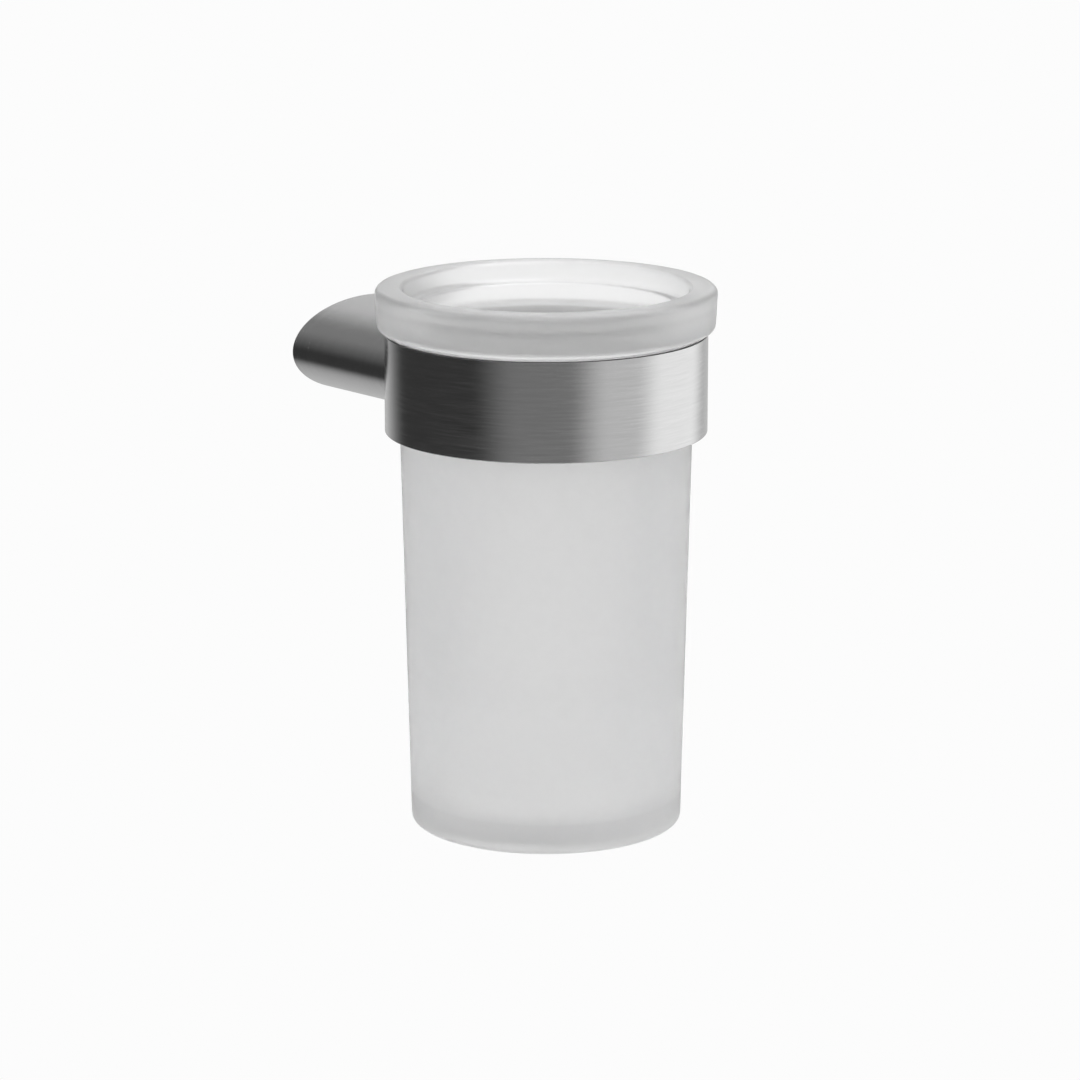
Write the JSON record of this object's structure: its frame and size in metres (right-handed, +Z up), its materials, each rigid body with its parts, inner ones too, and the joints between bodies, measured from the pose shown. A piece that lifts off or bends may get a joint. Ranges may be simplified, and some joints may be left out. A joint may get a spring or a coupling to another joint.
{
  "type": "tumbler holder",
  "caption": "Wall-mounted tumbler holder: a satin glass tumbler with a wide collar hangs in a round brushed steel ring on a short oval arm, and lifts out upwards.",
  "frame": {"origin": "middle of the wall plate's back face, which lies against the wall, on the oval arm's axis", "axes": "+Z up, +Y into the wall, -Y out into the room, +X to the right for someone who faces the wall"},
  "size_m": [0.074, 0.0996, 0.119],
  "materials": {
    "satin_glass": "satin, acid-etched inside and out",
    "brushed_stainless": "fine circumferential brush, satin",
    "clear_polyethylene": "moulded, milky",
    "cast_aluminium": "as cast, machined faces",
    "stainless_screw": "plain turned"
  },
  "bodies": {
    "holder": {"holder_ring": "brushed_stainless", "ring_liner": "clear_polyethylene", "bracket_sleeve": "brushed_stainless", "core_block": "cast_aluminium", "wall_plate": "cast_aluminium", "ring_screw_upper": "stainless_screw", "ring_screw_lower": "stainless_screw", "grub_screw": "stainless_screw"},
    "tumbler": {"tumbler": "satin_glass"}
  },
  "joints": [
    {"name": "tumbler_lift", "type": "slide", "parent": "holder", "child": "tumbler", "axis": [0, 0, 1], "range_m": [0, 0.12]}
  ]
}
